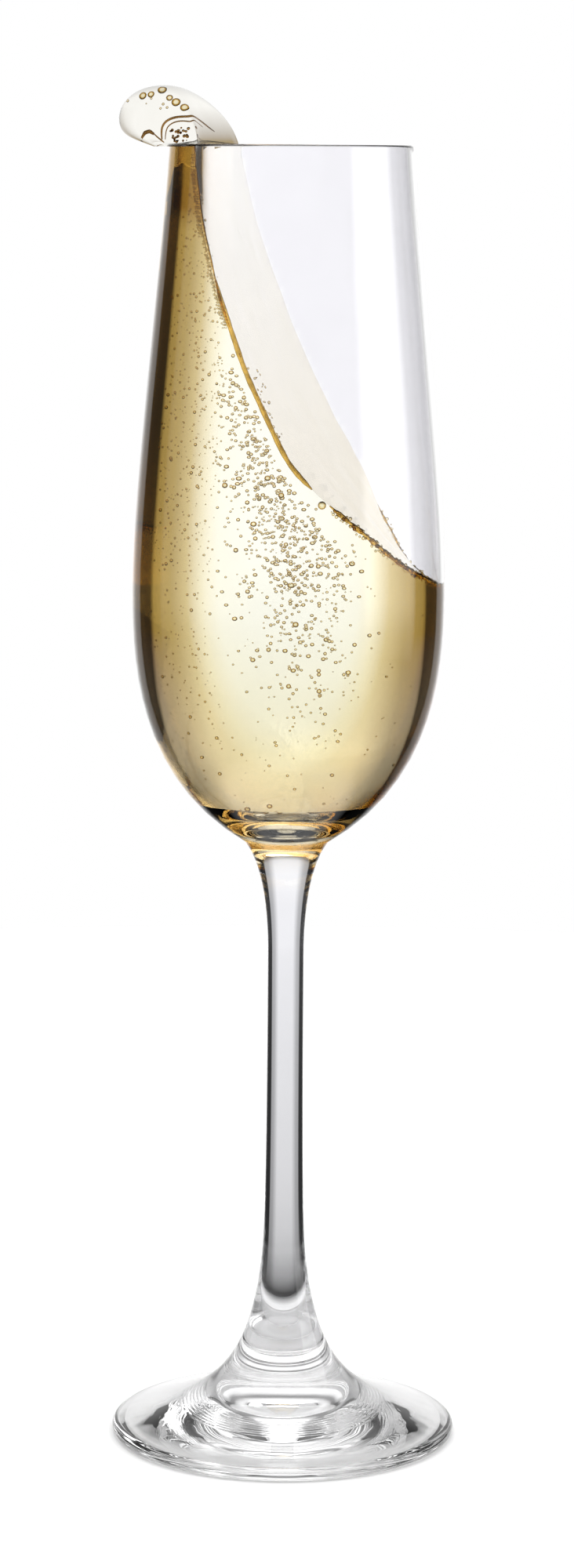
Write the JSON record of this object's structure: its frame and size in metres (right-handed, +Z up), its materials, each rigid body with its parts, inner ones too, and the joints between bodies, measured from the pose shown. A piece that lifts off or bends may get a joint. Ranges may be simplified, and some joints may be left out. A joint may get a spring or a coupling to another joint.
{
  "type": "flute glass of sparkling wine",
  "caption": "Stemmed flute glass holding sparkling wine that has swung up one wall and curls over the lip in a rounded crest.",
  "frame": {"origin": "on the glass's axis, on the surface that the foot stands on", "axes": "+Z up along the stem; +X to the right and +Y away, as seen from the side where the wine climbs the left wall"},
  "size_m": [0.0628, 0.0628, 0.2453],
  "materials": {
    "clear_glass": "clear, polished, fire-rounded lip",
    "pale_gold_wine": "clear pale gold liquid with fine bubbles"
  },
  "bodies": {
    "root": {"glass": "clear_glass", "champagne": "pale_gold_wine"}
  },
  "joints": []
}
